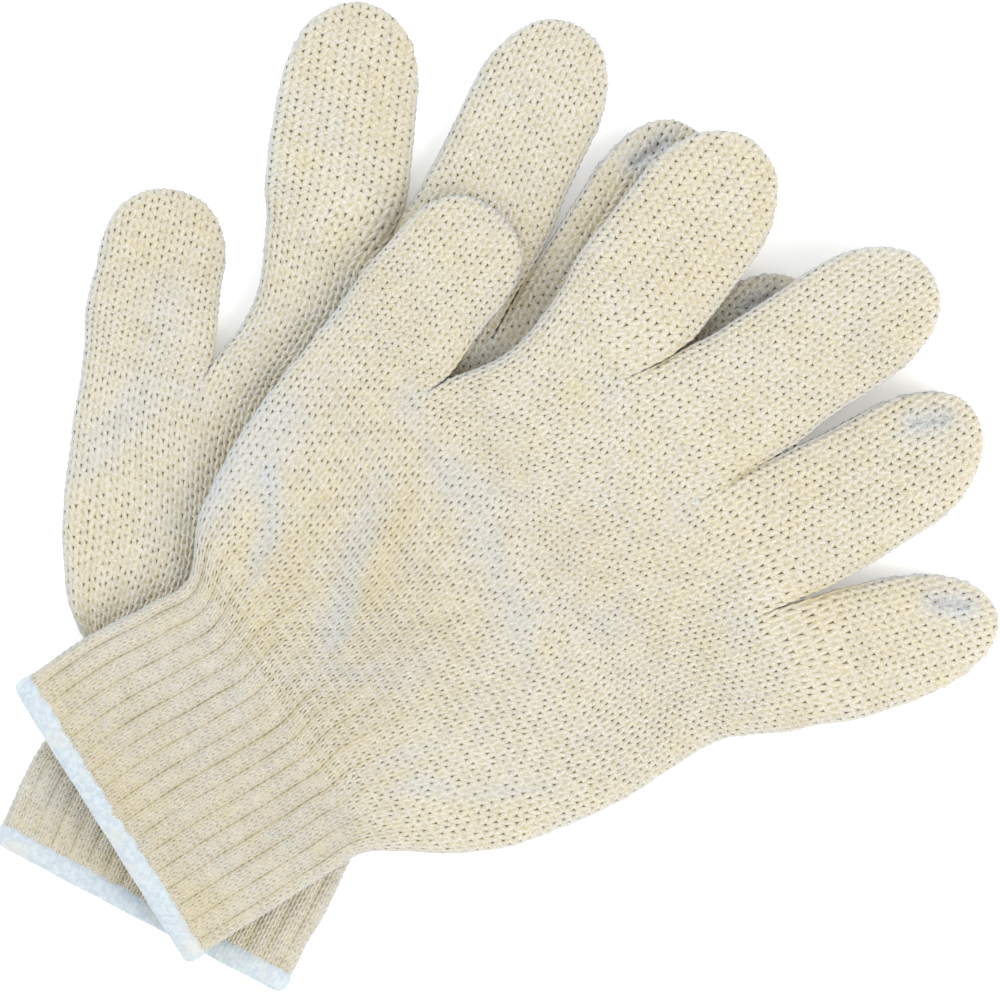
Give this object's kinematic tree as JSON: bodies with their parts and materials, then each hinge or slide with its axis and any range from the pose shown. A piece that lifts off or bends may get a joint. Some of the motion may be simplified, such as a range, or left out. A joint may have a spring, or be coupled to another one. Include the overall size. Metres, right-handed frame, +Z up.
{
  "type": "work gloves",
  "caption": "Pair of seamless knitted string work gloves with ribbed elastic cuffs, one lying across the other.",
  "frame": {"origin": "on the table under the middle of the pair's outline", "axes": "+Z up from the table; +Y from the lower glove's cuff to its middle fingertip; +X from its thumb side to its little finger side"},
  "size_m": [0.2472, 0.2504, 0.0197],
  "materials": {
    "knit": "matt natural cotton and polyester jersey",
    "rib": "matt natural cotton and polyester rib",
    "overlock": "fuzzy bluish white overlock thread",
    "elastic": "matt covered elastic thread",
    "yarn": "matt bluish white joining yarn"
  },
  "bodies": {
    "lower_palm": {"lower_five_finger_palm": "knit", "lower_four_finger_palm": "knit", "lower_thumb_join": "yarn", "lower_index_middle_join": "yarn", "lower_middle_ring_join": "yarn", "lower_ring_little_join": "yarn", "lower_cuff": "rib", "lower_overlock_hem": "overlock", "lower_elastic_thread_1": "elastic", "lower_elastic_thread_2": "elastic", "lower_elastic_thread_3": "elastic", "lower_ring_finger": "knit", "lower_ring_tip_closure": "yarn", "lower_little_finger": "knit", "lower_little_tip_closure": "yarn", "lower_index_base": "knit", "lower_middle_base": "knit"},
    "lower_thumb_base": {"lower_thumb_base": "knit"},
    "lower_thumb_tip": {"lower_thumb_tip": "knit", "lower_thumb_tip_closure": "yarn"},
    "lower_index_tip": {"lower_index_tip": "knit", "lower_index_tip_closure": "yarn"},
    "lower_middle_tip": {"lower_middle_tip": "knit", "lower_middle_tip_closure": "yarn"},
    "upper_palm": {"upper_five_finger_palm": "knit", "upper_four_finger_palm": "knit", "upper_thumb_join": "yarn", "upper_index_middle_join": "yarn", "upper_middle_ring_join": "yarn", "upper_ring_little_join": "yarn"},
    "upper_cuff": {"upper_cuff": "rib", "upper_overlock_hem": "overlock", "upper_elastic_thread_1": "elastic", "upper_elastic_thread_2": "elastic", "upper_elastic_thread_3": "elastic"},
    "upper_thumb_base": {"upper_thumb_base": "knit"},
    "upper_thumb_tip": {"upper_thumb_tip": "knit", "upper_thumb_tip_closure": "yarn"},
    "upper_index_base": {"upper_index_base": "knit"},
    "upper_index_tip": {"upper_index_tip": "knit", "upper_index_tip_closure": "yarn"},
    "upper_middle_base": {"upper_middle_base": "knit"},
    "upper_middle_tip": {"upper_middle_tip": "knit", "upper_middle_tip_closure": "yarn"},
    "upper_ring_base": {"upper_ring_base": "knit"},
    "upper_ring_tip": {"upper_ring_tip": "knit", "upper_ring_tip_closure": "yarn"},
    "upper_little_base": {"upper_little_base": "knit"},
    "upper_little_tip": {"upper_little_tip": "knit", "upper_little_tip_closure": "yarn"}
  },
  "joints": [
    {"name": "upper_glove_lift", "type": "slide", "parent": "lower_palm", "child": "upper_palm", "axis": [0, 0, 1], "range_m": [0, 0.12]},
    {"name": "lower_thumb_root", "type": "hinge", "parent": "lower_palm", "child": "lower_thumb_base", "pos_m": [-0.09904, -0.00297, 0.0098], "axis": [1, 0, 0], "range_deg": [0, 70]},
    {"name": "lower_thumb_middle", "type": "hinge", "parent": "lower_thumb_base", "child": "lower_thumb_tip", "pos_m": [-0.10527, 0.01677, 0.0098], "axis": [0.9537, 0.3007, 0], "range_deg": [0, 80]},
    {"name": "lower_index_middle", "type": "hinge", "parent": "lower_palm", "child": "lower_index_tip", "pos_m": [-0.08191, 0.07217, 0.0098], "axis": [0.9367, 0.3502, 0], "range_deg": [0, 90]},
    {"name": "lower_middle_middle", "type": "hinge", "parent": "lower_palm", "child": "lower_middle_tip", "pos_m": [-0.04188, 0.08157, 0.0098], "axis": [0.9999, 0.014, 0], "range_deg": [0, 90]},
    {"name": "upper_wrist", "type": "hinge", "parent": "upper_palm", "child": "upper_cuff", "pos_m": [-0.02875, -0.06098, 0.0199], "axis": [-0.8652, 0.5015, 0], "range_deg": [0, 75]},
    {"name": "upper_thumb_root", "type": "hinge", "parent": "upper_palm", "child": "upper_thumb_base", "pos_m": [-0.04859, 0.02912, 0.0199], "axis": [0.8652, -0.5015, 0], "range_deg": [0, 70]},
    {"name": "upper_thumb_middle", "type": "hinge", "parent": "upper_thumb_base", "child": "upper_thumb_tip", "pos_m": [-0.04407, 0.04933, 0.0199], "axis": [0.9759, -0.2181, 0], "range_deg": [0, 80]},
    {"name": "upper_index_root", "type": "hinge", "parent": "upper_palm", "child": "upper_index_base", "pos_m": [-0.00073, 0.05802, 0.0199], "axis": [0.8652, -0.5015, 0], "range_deg": [0, 85]},
    {"name": "upper_index_middle", "type": "hinge", "parent": "upper_index_base", "child": "upper_index_tip", "pos_m": [0.00392, 0.08553, 0.0199], "axis": [0.986, -0.1668, 0], "range_deg": [0, 90]},
    {"name": "upper_middle_root", "type": "hinge", "parent": "upper_palm", "child": "upper_middle_base", "pos_m": [0.02587, 0.0426, 0.0199], "axis": [0.8652, -0.5015, 0], "range_deg": [0, 85]},
    {"name": "upper_middle_middle", "type": "hinge", "parent": "upper_middle_base", "child": "upper_middle_tip", "pos_m": [0.04326, 0.0736, 0.01999], "axis": [0.872, -0.4894, -0.0082], "range_deg": [0, 90]},
    {"name": "upper_ring_root", "type": "hinge", "parent": "upper_palm", "child": "upper_ring_base", "pos_m": [0.05476, 0.02585, 0.01764], "axis": [0.8482, -0.4917, -0.1969], "range_deg": [0, 85]},
    {"name": "upper_ring_middle", "type": "hinge", "parent": "upper_ring_base", "child": "upper_ring_tip", "pos_m": [0.07149, 0.05253, 0.01646], "axis": [0.8278, -0.5193, -0.2123], "range_deg": [0, 90]},
    {"name": "upper_little_root", "type": "hinge", "parent": "upper_palm", "child": "upper_little_base", "pos_m": [0.08258, 0.00973, 0.01168], "axis": [0.8607, -0.4989, -0.1017], "range_deg": [0, 85]},
    {"name": "upper_little_middle", "type": "hinge", "parent": "upper_little_base", "child": "upper_little_tip", "pos_m": [0.09906, 0.02504, 0.01076], "axis": [0.6803, -0.7321, -0.0349], "range_deg": [0, 90]}
  ]
}
